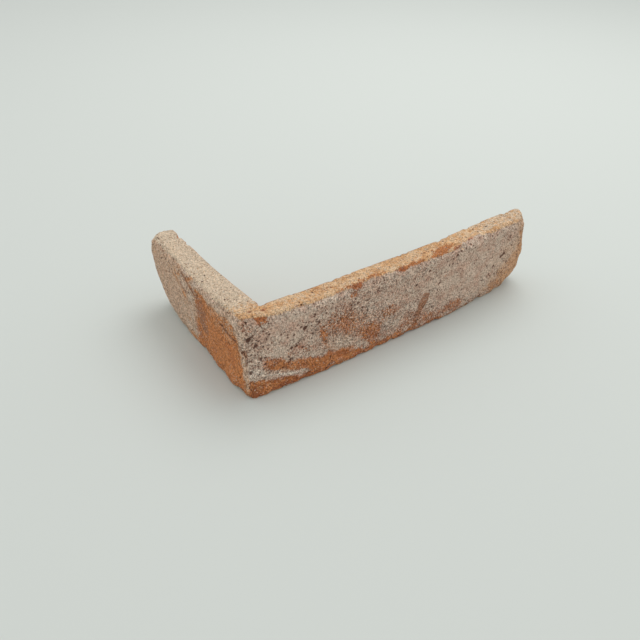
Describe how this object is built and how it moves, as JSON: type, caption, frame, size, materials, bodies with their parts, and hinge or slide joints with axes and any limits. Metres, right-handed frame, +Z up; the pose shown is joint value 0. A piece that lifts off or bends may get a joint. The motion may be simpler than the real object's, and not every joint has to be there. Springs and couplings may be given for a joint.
{
  "type": "corner brick slip",
  "caption": "L-shaped corner slip sawn from an old fired-clay brick, for facing an outside wall corner, with worn faces and rounded ends.",
  "frame": {"origin": "middle of the box's base, on the level that the lower bed rests on", "axes": "+X along the long leg away from the corner, +Y along the short leg away from the corner, +Z up from the lower bed; the outer faces look towards -Y and -X and the sawn backs towards +Y and +X"},
  "size_m": [0.2422, 0.1333, 0.057],
  "materials": {
    "fired_clay": "old orange fired clay under a worn, patchy wash of pale lime and sand, matt and pitted"
  },
  "bodies": {
    "root": {"corner_slip": "fired_clay"}
  },
  "joints": []
}
